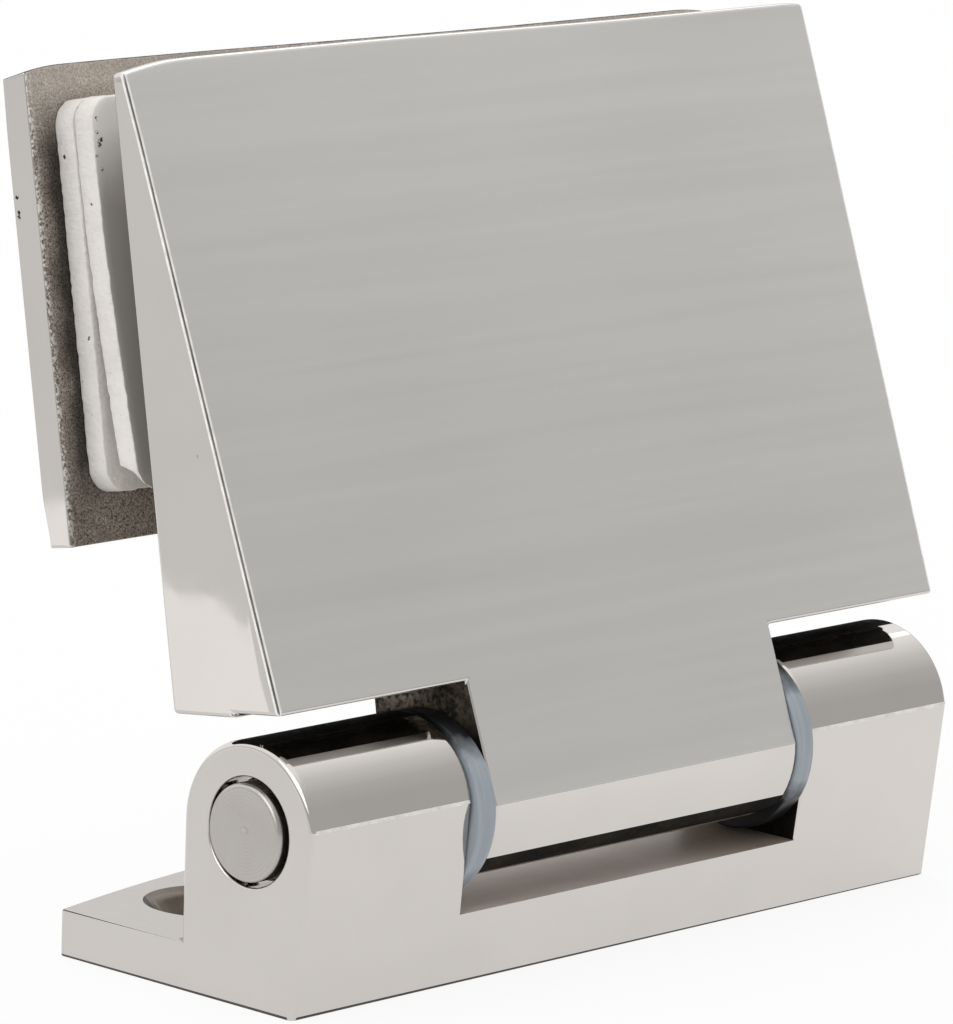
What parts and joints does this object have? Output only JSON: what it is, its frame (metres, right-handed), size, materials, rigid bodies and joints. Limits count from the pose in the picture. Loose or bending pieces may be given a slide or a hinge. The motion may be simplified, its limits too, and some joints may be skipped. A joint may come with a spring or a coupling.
{
  "type": "shower screen bracket",
  "caption": "Polished cast hinge bracket for a shower screen: a wall base with ears and a pin carries a wedge-shaped leaf that clamps a glass panel against a rear plate.",
  "frame": {"origin": "on the base's wall face, straight below the middle of the hinge pin", "axes": "+X along the hinge pin, +Y rearwards over the wall plate, +Z away from the wall face"},
  "size_m": [0.095, 0.0414, 0.0856],
  "materials": {
    "polished_steel": "polished cast stainless steel, rough inside the clamp",
    "turned_steel": "turned stainless steel",
    "screw_steel": "plain stainless steel",
    "washer_nylon": "milky blue-grey nylon",
    "gasket_white": "white cut gasket sheet",
    "sleeve_clear": "pale plastic"
  },
  "bodies": {
    "bracket": {"base_bracket": "polished_steel", "washer_left": "washer_nylon", "washer_right": "washer_nylon"},
    "leaf": {"front_leaf": "polished_steel", "hinge_pin": "turned_steel", "pin_grub_screw": "screw_steel", "rear_plate": "polished_steel", "gasket_rear": "gasket_white", "gasket_front": "gasket_white", "sleeve_left": "sleeve_clear", "sleeve_right": "sleeve_clear", "clamp_screws": "screw_steel"}
  },
  "joints": [
    {"name": "leaf_swing", "type": "hinge", "parent": "bracket", "child": "leaf", "pos_m": [0, 0, 0.0166], "axis": [1, 0, 0], "range_deg": [-62, 105]}
  ]
}
